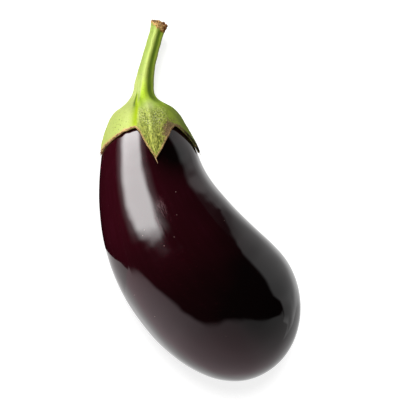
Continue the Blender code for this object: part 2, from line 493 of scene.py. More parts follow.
flare_start, stalk_tangent = stalk_ring(FLARE_TOP, row_radius[-1])
flare_end = over_skin(full * FLARE_REACH, cap_offset(full * FLARE_REACH, 0))
before_reach = full * (FLARE_REACH - 1 * MM)
before_end = over_skin(before_reach, cap_offset(before_reach, 0))
start_handle = flare_start - stalk_tangent * STALK_HANDLE
end_handle = flare_end + unit(before_end - flare_end) * SKIN_HANDLE
for t in np.linspace(0, 1, FLARE_ROWS + 1)[1:]:
    stalk_part = flare_start * (1 - t) ** 3 + start_handle * 3 * t * (1 - t) ** 2
    skin_part = end_handle * 3 * t * t * (1 - t) + flare_end * t**3
    rows.append(stalk_part + skin_part)
for share in np.linspace(0, 1, LOBE_ROWS + 1)[1:]:
    reach = FLARE_REACH + (reach_end - FLARE_REACH) * share
    rows.append(over_skin(reach, cap_offset(reach, share)))
smooth = np.array(rows)
row_count = len(smooth)
print("rows from cut end to lobe edge:", row_count)

# %% [markdown]
# ## Where ribs and grooves run
#
# Five ribs run up the stalk, twist a little, and end as the midribs of the five lobes. Between them a
# groove runs up from each notch. So one angle says where a point is: a phase that is 0 on every rib and 180
# in every groove. On the stalk it follows the twist, and on the cap it follows the lobes.

# %% Phase of every point
RIB_TWIST = ((0, 11), (9, 6), (16, 2), (23, -5), (33, -4), (42, -8), (51, -8))  # height in mm, angle of a rib

share_down = np.zeros(row_count)  # 0 on the stalk, 1 where the flare ends, 2 at the lobes' edge
share_down[STALK_ROWS : STALK_ROWS + FLARE_ROWS] = np.linspace(0, 1, FLARE_ROWS + 1)[1:]
share_down[STALK_ROWS + FLARE_ROWS :] = 1 + np.linspace(0, 1, LOBE_ROWS + 1)[1:]
down = share_down[:, None] * np.ones((1, columns))
row_rise = np.concatenate((row_height, np.linspace(row_height[-1], 0, FLARE_ROWS), np.zeros(LOBE_ROWS)))

front_rib = np.interp(row_rise, *np.array(RIB_TWIST, dtype=float).T)
stalk_phase = 5 * (angle[None, :] - front_rib[:, None])
lobe_phase = np.interp(angle, edge_angle, np.arange(-1, 10) * 180.0)[None, :]
lobe_share = soft_step(share_down, 0.1, 1.3)[:, None]
phase = stalk_phase * (1 - lobe_share) + lobe_phase * lobe_share
from_rib = np.abs((phase + 180) % 360 - 180)
from_groove = 180 - from_rib
print("points in a groove:", int((from_groove < 10).sum()), "of", from_groove.size)

# %% [markdown]
# ## Ribs, grooves and wrinkles
#
# These are a relief: each point moves along the direction that the surface faces there. The groove is
# deepest on the upper side, with a raised bank on both sides. The front lobe is finely wrinkled, the others
# less, and the whole surface is slightly rough, as a grown thing is.

# %% Raise the relief
RIB_HEIGHT = 0.32 * MM
RIB_STRENGTHS = ((-10, 0.6), (8, 1.0), (80, 1.0), (230, 0.9), (270, 0.2), (325, 0.15), (350, 0.6))
GROOVE_DEPTHS = (0.6, 0.1, 0.4, 0.4, 0.4, 0.6)  # mm, at each notch
BANK_HEIGHT = 0.35  # for the groove's depth
MIDRIB_HEIGHT = 0.5 * MM
WRINKLE_HEIGHT = 0.13 * MM

groove_depth = np.interp(angle, edge_angle[0::2], GROOVE_DEPTHS)[None, :] * MM
groove_fade = soft_step(down, 0.1, 0.5) * (1 - 0.7 * soft_step(down, 1.4, 2))
grooves = -groove_depth * np.exp(-((from_groove / 17) ** 2)) * groove_fade
bank_fade = soft_step(down, 0.3, 0.8) * (1 - soft_step(down, 1.4, 2))
banks = BANK_HEIGHT * groove_depth * np.exp(-(((from_groove - 55) / 25) ** 2)) * bank_fade

rib_strength = np.interp(angle, *np.array(RIB_STRENGTHS, dtype=float).T)[None, :]
ribs = RIB_HEIGHT * rib_strength * np.cos(np.radians(phase)) * (1 - soft_step(down, 0.7, 1.3))
midrib_fade = soft_step(down, 0.8, 1.4) * (1 - 0.6 * soft_step(down, 1.6, 2))
midribs = np.exp(-((from_rib / 22) ** 2)) * midrib_fade

front_lobe = np.exp(-(((angle - 16) / 26) ** 4))[None, :]
wrinkled = soft_step(down, 1.0, 1.3) * (0.2 + 0.8 * front_lobe)
wrinkle_waves = make_waves(seed=11, count=70, shortest=1.0 * MM, longest=2.2 * MM, height=1.0)
wrinkles = WRINKLE_HEIGHT * wrinkled * wrinkle_waves(smooth)
rough_waves = make_waves(seed=5, count=30, shortest=3 * MM, longest=11 * MM, height=0.12 * MM)
relief = ribs + grooves + banks + MIDRIB_HEIGHT * midribs + wrinkles + rough_waves(smooth)

along_columns = np.roll(smooth, -1, axis=1) - np.roll(smooth, 1, axis=1)
cap_facing = unit(np.cross(np.gradient(smooth, axis=0), along_columns))
cap_facing = cap_facing * np.sign((cap_facing * unit(smooth - STEM_END)).sum(axis=-1).mean())
surface = smooth + cap_facing * relief[..., None]
print("relief, mm:", round(1000 * relief.min(), 2), "to", round(1000 * relief.max(), 2))

# %% [markdown]
# ## The dried crust
#
# Where the stalk was cut it has dried to a ragged brown crust, a few millimetres deep and a little wider
# than the stalk, more so on one side. How far the crust reaches down wavers from column to column. The same
# waves make its surface rough.

# %% Raise the crust
CRUST_DEPTH = 2.4 * MM
CRUST_SLANT = 1.9 * MM
CRUST_WAVER = 0.7 * MM
CRUST_SWELL = 0.15 * MM
CRUST_ROUGHNESS = 0.16 * MM
CRUST_LIP = 0.55 * MM

from_end = (row_height[0] - row_height)[:, None] * MM * np.ones((1, columns))
rag_waves = make_waves(seed=21, count=50, shortest=0.8 * MM, longest=2.4 * MM, height=1.0)
stalk_surface = surface[:STALK_ROWS]
rag = rag_waves(stalk_surface)
band = CRUST_DEPTH + CRUST_SLANT * outward_x + CRUST_WAVER * rag
dry = soft_step(band - from_end, -0.25 * MM, 0.25 * MM)
lip_side = np.clip(np.sin(np.radians(angle - 15)), 0, 1) ** 1.5
lip = CRUST_LIP * lip_side * np.exp(-((from_end / (2.4 * MM)) ** 2))
crust = dry * (CRUST_SWELL + CRUST_ROUGHNESS * rag) + lip
stalk_surface = stalk_surface + cap_facing[:STALK_ROWS] * crust[..., None]
print("the crust covers", round(100 * dry.mean()), "% of the stalk")

# %% [markdown]
# ## The cut face
#
# The knife went in at a slant, so that the face shows a little from above. Its rim is ragged, and it has
# sunk in the middle, where the soft pith dried first. Rings that shrink towards the middle give it that
# form.

# %% Shape the cut face
CUT_TILT = radians(20)
CUT_SLOPE = 1.0 * MM  # and it falls this much towards +X
RIM_RAG = 0.3 * MM
FACE_RAG = 0.22 * MM
FACE_SHARES = (0.12, 0.26, 0.4, 0.54, 0.68, 0.8, 0.9, 0.97)  # of the way from the middle to the rim
FACE_RISES = (-0.45, -0.5, -0.6, -0.6, -0.45, -0.25, 0.05, 0.12)  # mm

end_tangent = stalk_ring(1, 1 * MM)[1]
slant = -row_radius[0] * np.tan(CUT_TILT) * outward_z - CUT_SLOPE * np.clip(outward_x, 0, 1)
slant = slant[None, :] * np.exp(-((from_end / (7 * MM)) ** 2))
rim_rag = RIM_RAG * rag_waves(stalk_surface[:1] * (1, 0, 1))
rim_shift = rim_rag * np.exp(-from_end / (1.2 * MM)) + slant
stalk_surface = stalk_surface + end_tangent * rim_shift[..., None]
face_rings = []
middle = stalk_surface[0].mean(axis=0)
for share, up in zip(FACE_SHARES, FACE_RISES):
    ring = middle + (stalk_surface[0] - middle) * share + end_tangent * up * MM
    ring = ring + end_tangent * (FACE_RAG * rag_waves(ring))[:, None]
    face_rings.append(ring)
face_rings = np.array(face_rings)
print("cut face tilts", round(float(np.degrees(CUT_TILT))), "degrees towards the upper side")

# %% [markdown]
# ## Under the lobes
#
# A lobe is a thick, stiff leaf, so its surface turns over a rounded edge and runs back underneath. The
# cap's top ends at the ring where the stalk's piece begins. Both turn inwards there and run on inside each
# other, so that the join is hidden and no gap can show.

# %% Turn the edge over and split the surface in two
LOBE_THICKNESS = 1.25 * MM
EDGE_BULGE = 0.5 * MM
UNDER_ROWS = 16
UNDER_REACH = 5 * MM
UNDER_GAP = 0.25 * MM

outer = cap_offset(reach_end, full)
edge_rows = []
for share in (0.12, 0.3, 0.5, 0.7, 0.88):
    offset = outer - LOBE_THICKNESS * (1 - np.cos(pi * share)) / 2
    row = over_skin(reach_end + EDGE_BULGE * np.sin(pi * share), offset)
    edge_rows.append(row + cap_facing[-1] * (relief[-1] * (1 - share))[:, None])
for share in np.linspace(1, 0, UNDER_ROWS):
    reach = UNDER_REACH + (reach_end - UNDER_REACH) * share
    out = np.clip((reach - FLARE_REACH) / (reach_end - FLARE_REACH), 0, 1)
    offset = np.maximum(cap_offset(reach, out) - LOBE_THICKNESS, UNDER_GAP)
    offset = UNDER_GAP + (offset - UNDER_GAP) * soft_step(reach, 8 * MM, 20 * MM)
    edge_rows.append(over_skin(reach, offset))

joint = STALK_ROWS - 1
inner_rings = []
for inset, drop in ((1.0, 5.0), (0.15, 0.0)):  # mm
    inner_rings.append(surface[joint] - cap_facing[joint] * inset * MM - stalk_tangent * drop * MM)
cap_points = np.concatenate((surface[joint:], np.array(edge_rows), np.array(inner_rings)))
plug_rings = []
for inset, drop in ((0.3, 0.05), (1.2, 2.5), (2.6, 12.2)):  # mm
    plug_rings.append(surface[joint] - cap_facing[joint] * inset * MM - stalk_tangent * drop * MM)
stalk_points = np.concatenate((face_rings, stalk_surface, np.array(plug_rings)))
print("rings of cap and stalk:", len(cap_points), "and", len(stalk_points))

# %% [markdown]
# ## Two closed pieces
#
# The cap is like a ring with a hole, so its last ring of points joins its first. The stalk is like a
# candle, so a lid of triangles closes each end. Closed pieces have an inside and an outside, which a
# printer or a game engine needs as well.

# %% Make the cap and the stalk
def closed_piece(name, rings, joined):
    """A piece from rings of points: the last ring joins the first, or else both ends get a lid."""
    count = len(rings)
    faces = ring_faces(count, columns)
    points = rings.reshape(-1, 3)
    last = (count - 1) * columns
    around_pairs = [(column, (column + 1) % columns) for column in range(columns)]
    if joined:
        faces += [(last + here, here, after, last + after) for here, after in around_pairs]
    else:
        points = np.concatenate((points, (rings[0].mean(axis=0), rings[-1].mean(axis=0))))
        faces += [(len(points) - 2, here, after) for here, after in around_pairs]
        faces += [(len(points) - 1, last + after, last + here) for here, after in around_pairs]
    return add_piece(name, points, faces)


cap = closed_piece("green_calyx", cap_points, joined=True)
stalk = closed_piece("green_stalk", stalk_points, joined=False)

# %% [markdown]
# ## Dried tips and torn shreds
#
# Each lobe ends in a thin dried point, like a thorn, that hangs on past the green. Two of the lobes are
# torn along their edge as well, and keep a few short shreds. Each is a small bent cone that starts inside
# the edge.

# %% Make the dried tips
TIPS = ((3.6, 0.5), (2.4, 0.5), (2.6, 0.5), (2.2, 0.5), (3.4, 1.8))  # mm: length, bend outwards
SHREDS = ((296, 2.0, 1.2), (302, 2.4, 2.2), (316, 2.4, 1.2), (94, 1.6, 0.5), (112, 1.8, 0.5))  # column first
TIP_RADIUS = 0.42 * MM
TIP_ROOT = 1.2  # mm that it starts inside the edge
TIP_RINGS = 12
TIP_SIDES = 10

dried_points = [(COLUMNS_PER_SIDE * (2 * lobe + 1), *tip) for lobe, tip in enumerate(TIPS)]
tip_points = []
tip_faces = []
for number, (tip_column, length, bend) in enumerate((*dried_points, *SHREDS)):
    base = surface[-1, tip_column] - cap_facing[-1, tip_column] * 0.7 * MM
    onward = unit(surface[-1, tip_column] - surface[-6, tip_column])
    up = unit(cap_facing[-1, tip_column] - onward * (cap_facing[-1, tip_column] @ onward))
    side = np.cross(onward, up)
    first = number * TIP_RINGS * TIP_SIDES
    rings = []
    for share in np.linspace(0, 1, TIP_RINGS):
        middle = base + onward * (length * share - TIP_ROOT * (1 - share)) * MM
        middle = middle + up * (bend * share**1.4) * MM + side * (0.25 * sin(5 * share)) * MM
        radius = TIP_RADIUS * (1 - 0.75 * share) * (1 + 0.15 * sin(9 * share + number))
        turns = np.linspace(0, 2 * pi, TIP_SIDES, endpoint=False)
        rings.append(middle + radius * (np.cos(turns)[:, None] * up * 0.6 + np.sin(turns)[:, None] * side))
    tip_points.append(rings)
    tip_faces += ring_faces(TIP_RINGS, TIP_SIDES, first)
    last = first + (TIP_RINGS - 1) * TIP_SIDES
    tip_faces.append(tuple(range(first, first + TIP_SIDES)))
    tip_faces.append(tuple(reversed(range(last, last + TIP_SIDES))))
tips = add_piece("dried_tips", np.array(tip_points), tip_faces)

# %% [markdown]
# ## How far from the edge, and which side faces the softbox
#
# The rind's colours follow its shape, so each point of the cap is told where it is. The brown margin needs
# the distance to the lobes' edge. Green that faces the softbox is painted paler, a painted sheen, and up on
# the stalk a duller pale green is painted there instead. The youngest green, at the foot of the stalk, is
# the juiciest. Rows that turn under get one plain value.

# %% Numbers for the large differences of colour
# the softbox's direction, which the painted sheen on the rind follows as well
KEY_LIGHT_SIDE = np.array((-0.66, 0.42, 0.62))

edge_distance = [np.linalg.norm(row[:, None] - surface[-1], axis=-1).min(axis=1) for row in cap_points]
edge_distance = np.array(edge_distance)
dried_width = np.interp(angle, edge_angle, edge_dried)[None, :] * MM
hidden_rows = len(cap_points) - (row_count - joint)
# painted sheen: the rind is painted paler where it faces the softbox, and up the stalk a duller pale green
painted_lit_side = soft_step(cap_facing @ KEY_LIGHT_SIDE, 0.25, 0.95)
painted_lit_stalk = painted_lit_side * soft_step(row_rise, 10, 24)[:, None]
juicy = soft_step(-row_rise, -20, -9)[:, None] * (1 - soft_step(down, 1.0, 1.3))
juicy = juicy * np.exp(-(((angle[None, :] - 15) / 55) ** 4))


def on_cap(values, hidden=0.0):
    """Values for the outer rows of the cap, and one value for the rows that turn under."""
    return np.concatenate((values[joint:], np.full((hidden_rows, columns), hidden)))


cap_numbers = {
    "edge": edge_distance / dried_width,
    "painted_lit_side": on_cap(painted_lit_side),
    "painted_lit_stalk": on_cap(painted_lit_stalk),
    "juicy": on_cap(juicy),
    "patch": soft_spot(cap_points, (-30, 55), (3.4, 3.4)),
}
add_numbers(cap, cap_numbers)
print("widest dried margin:", round(dried_width.max() / MM, 1), "mm")

# %% [markdown]
# ## Ribs, grooves and marks
#
# The furrows beside the ribs are painted darker, as painted shade, little on the side that faces the
# softbox. The bottom of a groove is a fresh yellow-green with a narrow dark line painted next to it, as
# painted shade. The front lobe has a bruise of three spots that run together, and the lobe on its left a
# few dark specks. One lobe's margin, on the side away from the softbox, is painted darker: partly its own
# dried brown, partly painted shade.

# %% Numbers for the small differences of colour
BRUISE_SPOTS = ((38, 28.5, 4.6), (33, 33, 3.8), (27, 38, 2.4))  # degrees, then mm: reach and radius
SPECKS_PLACE = (-37, 24.4, 7.0)
# the lobe on the +X side, away from the softbox: its margin is painted darker, partly dried brown and partly
# painted shade
BURNT_AND_SHADED_ANGLE = 80
BURNT_AND_SHADED_WIDTH = 28


def cap_spot(turned, reached, radius):
    """1 at an angle and a reach on the cap, and less further away."""
    column = int(np.argmin(np.abs((angle - turned + 180) % 360 - 180)))
    centre = over_skin(full * reached * MM, full * 2 * MM)[column]
    return np.exp(-((np.linalg.norm(cap_points - centre, axis=-1) / (radius * MM)) ** 2))


# painted shade: the furrows between the ribs are painted darker, weakly on the -X side that faces the softbox
rib_shade = np.cos(np.radians(phase)) * rib_strength
groove = 1.8 * groove_depth / MM * np.exp(-((from_groove / 20) ** 2)) * soft_step(down, 0.15, 0.5)
# painted shade: a narrow dark line is painted beside each groove
painted_crease_shade = 1.6 * groove_depth / MM * np.exp(-(((phase % 360 - 180 + 16) / 6) ** 2))
painted_crease_shade = painted_crease_shade * soft_step(down, 0.02, 0.3) * (1 - soft_step(down, 0.8, 1.3))
mark_numbers = {
    "rib": on_cap(rib_shade * (1 - soft_step(down, 0.4, 1.0))),
    "groove": on_cap(groove),
    "painted_crease_shade": on_cap(painted_crease_shade),
    "wrinkled": on_cap(wrinkled * (0.3 + 0.7 * front_lobe), hidden=0.3),
    "low": on_cap(soft_step(down, 1.35, 1.75), hidden=1.0),
    "midrib": on_cap(midribs),
    "bruise": sum(cap_spot(*place) for place in BRUISE_SPOTS),
    "specks": cap_spot(*SPECKS_PLACE),
    # partly painted shade: the margin away from the softbox is painted darker
    "burnt_and_shaded": np.exp(-(((angle - BURNT_AND_SHADED_ANGLE) / BURNT_AND_SHADED_WIDTH) ** 4)) * np.ones((len(cap_points), 1)),
}
add_numbers(cap, mark_numbers)
print("the bruise covers", round(100 * (mark_numbers["bruise"] > 0.5).mean(), 1), "% of the cap")

# %% [markdown]
# ## The same for the stalk
#
# The stalk's piece has the rings of the cut face first, then the rows of the surface, then the hidden rings
# of its foot, and last the two middles of its lids. Where it meets the cap it carries the same numbers, so
# that no seam shows in the colour.

# %% Numbers for the stalk
FAR_FROM_EDGE = 50.0

face_shares = np.array(FACE_SHARES)[:, None]
# partly painted shade: the crust is painted darker on the +X side, away from the softbox
burnt_and_shaded_side = 0.5 + 0.5 * np.sin(np.radians(angle - 20))[None, :]


def on_stalk(values, face=0.0, middles=(0, 0)):
    """Values for the stalk's rows, for its cut face and for the middles of both lids."""
    whole = np.zeros((len(stalk_points), columns))
    whole[: len(face_shares)] = face
    whole[len(face_shares) : len(face_shares) + STALK_ROWS] = values[:STALK_ROWS]
    return np.append(whole, middles)


stalk_numbers = {
    "dry": on_stalk(dry, face=1.0, middles=(1, 0)),
    "rib": on_stalk(rib_shade),
    # the same painted sheen as on the cap
    "painted_lit_side": on_stalk(painted_lit_side),
    "painted_lit_stalk": on_stalk(painted_lit_stalk),
    "juicy": on_stalk(juicy),
    "pith": on_stalk(dry * 0, face=1 - face_shares, middles=(1, 0)),
    "burnt_and_shaded": on_stalk(burnt_and_shaded_side, face=0.5 + (burnt_and_shaded_side - 0.5) * face_shares, middles=(0.5, 0.5)),
    "edge": np.full(len(stalk_points) * columns + 2, FAR_FROM_EDGE),
}
add_numbers(stalk, stalk_numbers)
rind_numbers = dict.fromkeys((*cap_numbers, *mark_numbers, *stalk_numbers))
print("numbers on the rind:", ", ".join(rind_numbers))

# %% [markdown]
# ## Tools for materials
#
# Colours are easiest to choose as the hex codes of a paint program, which are in sRGB. Blender works in
# linear light, so one function turns a code into that. One more function adds any node: its inputs are
# plain values, hex codes, or the outputs of other nodes. The node used most is the map range, which turns
# one range of values into another: its inputs are the value, from low, to high, and what those two become
# (0 and 1 if not given). Colours are built up as a painter does, one thin layer over another, each with a
# share that says where it covers.

# %% Colour and node tools
def colour(code):
    """A hex colour code in linear light, with full opacity."""
    parts = [int(code[start : start + 2], 16) / 255 for start in (1, 3, 5)]
    return (*[part / 12.92 if part <= 0.04045 else ((part + 0.055) / 1.055) ** 2.4 for part in parts], 1.0)


def add_node(tree, kind, inputs=(), output=0, **settings):
    """A new node; returns one of its outputs. Inputs come in the node's order, or by name or number."""
    made = tree.nodes.new("ShaderNode" + kind)
    for option, value in settings.items():
        setattr(made, option, value)
    for name, value in inputs.items() if isinstance(inputs, dict) else enumerate(inputs):
        if isinstance(value, bpy.types.NodeSocket):
            tree.links.new(value, made.inputs[name])
        else:
            made.inputs[name].default_value = colour(value) if isinstance(value, str) else value
    return made.outputs[output]


def lay_over(tree, base, layers):
    """Lays colours over a base, one after another. Each layer is a share, from 0 to 1, and a colour."""
    for share, over in layers:
        base = add_node(tree, "Mix", {0: share, 6: base, 7: over}, output=2, data_type="RGBA")
    return base


def new_material(name, mesh_numbers=()):
    """An empty material, its Principled shader, already joined to the output, and the mesh's numbers."""
    material = bpy.data.materials.new(name)
    material.use_nodes = True
    tree = material.node_tree
    carried = {}
    for number in mesh_numbers:
        carried[number] = add_node(tree, "Attribute", output=2, attribute_name=number)
    return material, tree, tree.nodes["Principled BSDF"], carried


print("middle grey in linear light:", round(colour("#808080")[0], 3))

# %% [markdown]
# ## The skin: waxed, nearly black eggplant peel
#
# Eggplant peel is a thin purple-black skin under the plant's own wax. The wax reflects sharply, and the
# colour below is so dark that reflections do most of the work. So the base colour is very dark, and the
# index is that of plant wax, about 1.45. The colour darkens from the neck and the softbox's side to the belly
# and the far side, partly as ripening and partly as painted shade. It drifts a little over a few centimetres,
# and faint streaks run from stem to blossom end.

# %% Colour of the peel
DRIFT_WIDTH = 40 * MM
BELLY_RADIUS = 44 * MM
STREAK_WIDTH = 2 * MM

skin_finish, tree, shader, carried = new_material("waxed eggplant peel", fruit_numbers)
shader.inputs["IOR"].default_value = 1.45
place = add_node(tree, "TexCoord", output=3)
streak_place = add_node(tree, "CombineXYZ", (carried["east"], carried["north"], carried["along"]))
streak_scale = BELLY_RADIUS / STREAK_WIDTH
streaks = add_node(tree, "TexNoise", {"Vector": streak_place, "Scale": streak_scale, "Detail": 3.0})
streak_share = add_node(tree, "MapRange", (streaks, 0.45, 0.75, 0.0, 0.5))
drift = add_node(tree, "TexNoise", {"Vector": place, "Scale": 1 / DRIFT_WIDTH, "Detail": 2.0})
drift = add_node(tree, "MapRange", (drift, 0.3, 0.7, -0.12, 0.12))
# darker away from the softbox: partly ripening, partly painted shade
ripe_and_shaded = add_node(tree, "Math", (carried["ripeness_and_shade"], drift))
peel = lay_over(tree, "#2B060E", ((streak_share, "#330A16"), (ripe_and_shaded, "#060202")))
fruit.data.materials.append(skin_finish)
print("made", skin_finish.name)

# %% [markdown]
# ## Pores and scar
#
# The peel has a few pale pores, which show as dots. A Voronoi pattern gives each of its cells a random
# colour and the distance to its middle: the distance makes the dot, and the colour picks the cells that
# have one.

# %% Dots and cork over the peel
PORE_SPACING = 6 * MM
PORE_RADIUS = 0.26 * MM  # a real pore is half of this; it is drawn larger so that it shows

from_pore = add_node(tree, "TexVoronoi", {"Vector": place, "Scale": 1 / PORE_SPACING})
pore_size = PORE_RADIUS / PORE_SPACING
pore_dot = add_node(tree, "MapRange", (from_pore, 0.5 * pore_size, pore_size, 1.0, 0.0))
cell_number = add_node(tree, "SeparateColor", (from_pore.node.outputs["Color"],))
cell_choice = add_node(tree, "MapRange", (cell_number, 0.45, 0.85))
pores = add_node(tree, "Math", (pore_dot, cell_choice), operation="MULTIPLY")
peel = lay_over(tree, peel, ((pores, "#A88E86"), (carried["scar"], "#7A5A3A")))
tree.links.new(peel, shader.inputs["Base Color"])
print("a pore every", round(PORE_SPACING / MM), "mm at most")

# %% [markdown]
# ## The wax
#
# Fresh wax is smooth, with a roughness near 0.1, and duller in patches of a centimetre. Where it was
# rubbed, the streaks scatter the light. A very faint grain keeps large reflections from looking like
# plastic.

# %% Gloss and grain of the wax
WAX_PATCH_WIDTH = 12 * MM
GRAIN_WIDTH = 1.0 * MM
GRAIN_HEIGHT = 0.02 * MM

wax_patches = add_node(tree, "TexNoise", {"Vector": place, "Scale": 1 / WAX_PATCH_WIDTH, "Detail": 4.0})
dull = add_node(tree, "MapRange", (wax_patches, 0.35, 0.7, 0.05, 0.11))
scratches = add_node(tree, "MapRange", (streaks, 0.45, 0.6, 0.0, 0.4))
scratches = add_node(tree, "Math", (carried["rubbed"], scratches), operation="MULTIPLY")
dull = add_node(tree, "Math", (dull, scratches))
dull = add_node(tree, "Math", (dull, carried["scar"]))
tree.links.new(dull, shader.inputs["Roughness"])
grain = add_node(tree, "TexNoise", {"Vector": place, "Scale": 1 / GRAIN_WIDTH, "Detail": 2.0})
grain = add_node(tree, "Bump", {"Height": grain, "Strength": 0.1, "Distance": GRAIN_HEIGHT})
tree.links.new(grain, shader.inputs["Normal"])
print("nodes in the peel:", len(tree.nodes))

# %% [markdown]
# ## Patterns of the rind
#
# Cap and stalk have a tough, slightly shiny green rind. Its colour changes in soft patches of a centimetre
# or two, it is flecked at about a millimetre, finely grained at half of that, and fibres run along it. Each
# is a noise of its real size. The fibres are a noise whose place is squeezed, which draws it out
# lengthways.

# %% Four noises of real sizes
RIND_PATTERNS = {  # how wide, and how many finer layers
    "tone": (14 * MM, 4.0),
    "flecks": (1.1 * MM, 3.0),
    "fine": (0.5 * MM, 3.0),
    "fibres": (0.7 * MM, 3.0),
}
FIBRE_SQUEEZE = (1.0, 0.12, 1.0)


def rind_patterns(tree):
    """The noises by name, the place that they are laid on, and unevenness that goes both ways from 0."""
    place = add_node(tree, "TexCoord", output=3)
    long_place = add_node(tree, "Mapping", {0: place, 3: FIBRE_SQUEEZE})
    patterns = {"place": place}
    for name, (width, detail) in RIND_PATTERNS.items():
        vector = long_place if name == "fibres" else place
        patterns[name] = add_node(tree, "TexNoise", {"Vector": vector, "Scale": 1 / width, "Detail": detail})
    patterns["uneven"] = add_node(tree, "MapRange", (patterns["flecks"], 0.3, 0.7, -0.5, 0.5))
    return patterns


print("patterns of the rind:", ", ".join(RIND_PATTERNS))

# %% [markdown]
# ## Fresh green
#
# The green runs from a painted pale sheen where it faces the softbox, to yellow-green at the stalk's foot, to
# olive. The furrows between the stalk's ribs are painted darker, as painted shade. The wrinkled front lobe is
# flecked, pale on the bumps and dark between them, and lower down the flecks draw out into streaks.

# %% Layers of green
def green_rind(tree, carried, patterns):
    """The fresh colours, from the ground tone up."""
    tone = add_node(tree, "MapRange", (patterns["tone"], 0.35, 0.65))
    painted_furrow_shade = add_node(tree, "MapRange", (carried["rib"], 0.3, -0.8, 0.0, 0.85))
    fibre = add_node(tree, "MapRange", (patterns["fibres"], 0.5, 0.75, 0.0, 0.4))
    grain = add_node(tree, "MapRange", (patterns["fine"], 0.45, 0.55))
    fleck = add_node(tree, "MapRange", (patterns["flecks"], 0.52, 0.66, 0.0, 0.7))
    streak = add_node(tree, "MapRange", (patterns["fibres"], 0.42, 0.58))
    midrib = add_node(tree, "Math", (carried["midrib"], 0.35), operation="MULTIPLY")
    # the pale green of the painted sheen on the side that faces the softbox
    pale = lay_over(tree, "#B6C26A", ((tone, "#BEC678"),))
    flecked = lay_over(tree, "#3E4C0A", ((grain, "#BAC45E"), (fleck, "#CED498")))
    streaked = lay_over(tree, "#4E5814", ((streak, "#A6A84C"),))
    layers = (
        (tone, "#B2C44C"),
        # painted sheen where the rind faces the softbox, a duller one up the stalk
        (carried["painted_lit_side"], pale),
        (carried["painted_lit_stalk"], "#A2B25A"),
        (carried["juicy"], "#A6C42C"),
        (carried["patch"], "#CCD888"),
        # painted shade in the furrows between the ribs
        (painted_furrow_shade, "#4E6E0A"),
        (fibre, "#83983A"),
        (carried["wrinkled"], lay_over(tree, flecked, ((carried["low"], streaked),))),
        (midrib, "#A9B254"),
        (carried["groove"], "#94AA12"),
        # painted shade beside each groove
        (carried["painted_crease_shade"], "#3C5A00"),
    )
    return lay_over(tree, "#A6BE38", layers)


# %% [markdown]
# ## Specks, bruise and dried margin
#
# Over the green come the marks. The bruise and the margin have ragged outlines, because unevenness is added
# to their numbers before the step that cuts them off. The margin has dried to tan, and brown at the very
# rim; on the lobe away from the softbox it is painted darker, partly dried brown and partly painted shade.

# %% Layers of marks
SPECK_SPACING = 1.9 * MM


def marked_rind(tree, carried, patterns, green):
    """Dark specks, the bruise and the dried margin over the green."""
    from_speck = add_node(tree, "TexVoronoi", {"Vector": patterns["place"], "Scale": 1 / SPECK_SPACING})
    speck = add_node(tree, "MapRange", (from_speck, 0.16, 0.24, 1.0, 0.0))
    speck = add_node(tree, "Math", (speck, carried["specks"]), operation="MULTIPLY")
    bruise = add_node(tree, "Math", (carried["bruise"], patterns["uneven"]))
    bruise = add_node(tree, "MapRange", (bruise, 0.3, 0.7, 0.0, 0.95))
    blotch = add_node(tree, "MapRange", (patterns["fine"], 0.42, 0.58))
    from_edge = add_node(tree, "Math", (carried["edge"], patterns["uneven"]))
    margin = add_node(tree, "MapRange", (from_edge, 1.0, 0.5))
    rim = add_node(tree, "MapRange", (from_edge, 0.4, 0.1))
    layers = (
        (speck, "#4F5A26"),
        (bruise, lay_over(tree, "#4E3A1E", ((blotch, "#92785A"),))),
        # on the lobe away from the softbox the margin is painted darker: partly dried brown, partly painted
        # shade
        (margin, lay_over(tree, "#B99A66", ((carried["burnt_and_shaded"], "#5A5230"),))),
        (rim, lay_over(tree, "#6E4A30", ((carried["burnt_and_shaded"], "#241E14"),))),
    )
    return lay_over(tree, green, layers)


# %% [markdown]
# ## The cut end's crust
#
# Dried sap and fibres give a crust from straw to dark brown. It is painted darker on the side of the stalk
# away from the softbox, partly its own colour and partly painted shade. The pith in the middle of the cut
# face stays lighter.

# %% Colours of the crust
def dried_crust(tree, carried, patterns):
    """Straw and brown, grained as finely as the rind."""
    grain = add_node(tree, "MapRange", (patterns["fine"], 0.42, 0.6))
    # painted shade, partly the crust's own colour: darker on the side away from the softbox
    darker = add_node(tree, "Math", (carried["burnt_and_shaded"], patterns["uneven"]))
    darker = add_node(tree, "MapRange", (darker, 0.35, 0.75))
    pith = add_node(tree, "MapRange", (carried["pith"], 0.2, 0.7, 0.0, 0.5))
    dark = lay_over(tree, "#8A5012", ((grain, "#3E2012"),))
    return lay_over(tree, "#D2B070", ((grain, "#94602E"), (darker, dark), (pith, "#B08A56")))


# %% [markdown]
# ## The whole rind
#
# A living rind has a thin wax too, but much duller than the fruit's: a roughness near 0.5, and less shine
# than its index would give, because fine hairs scatter it. Crust and wrinkles are duller still. The bump is
# only for grain that is too fine for the mesh. Cap and stalk get one material each from the same function,
# so that they match where they join.

# %% Make the rind for the cap and for the stalk
FINE_BUMP = 0.25 * MM
FIBRE_BUMP = 0.12 * MM


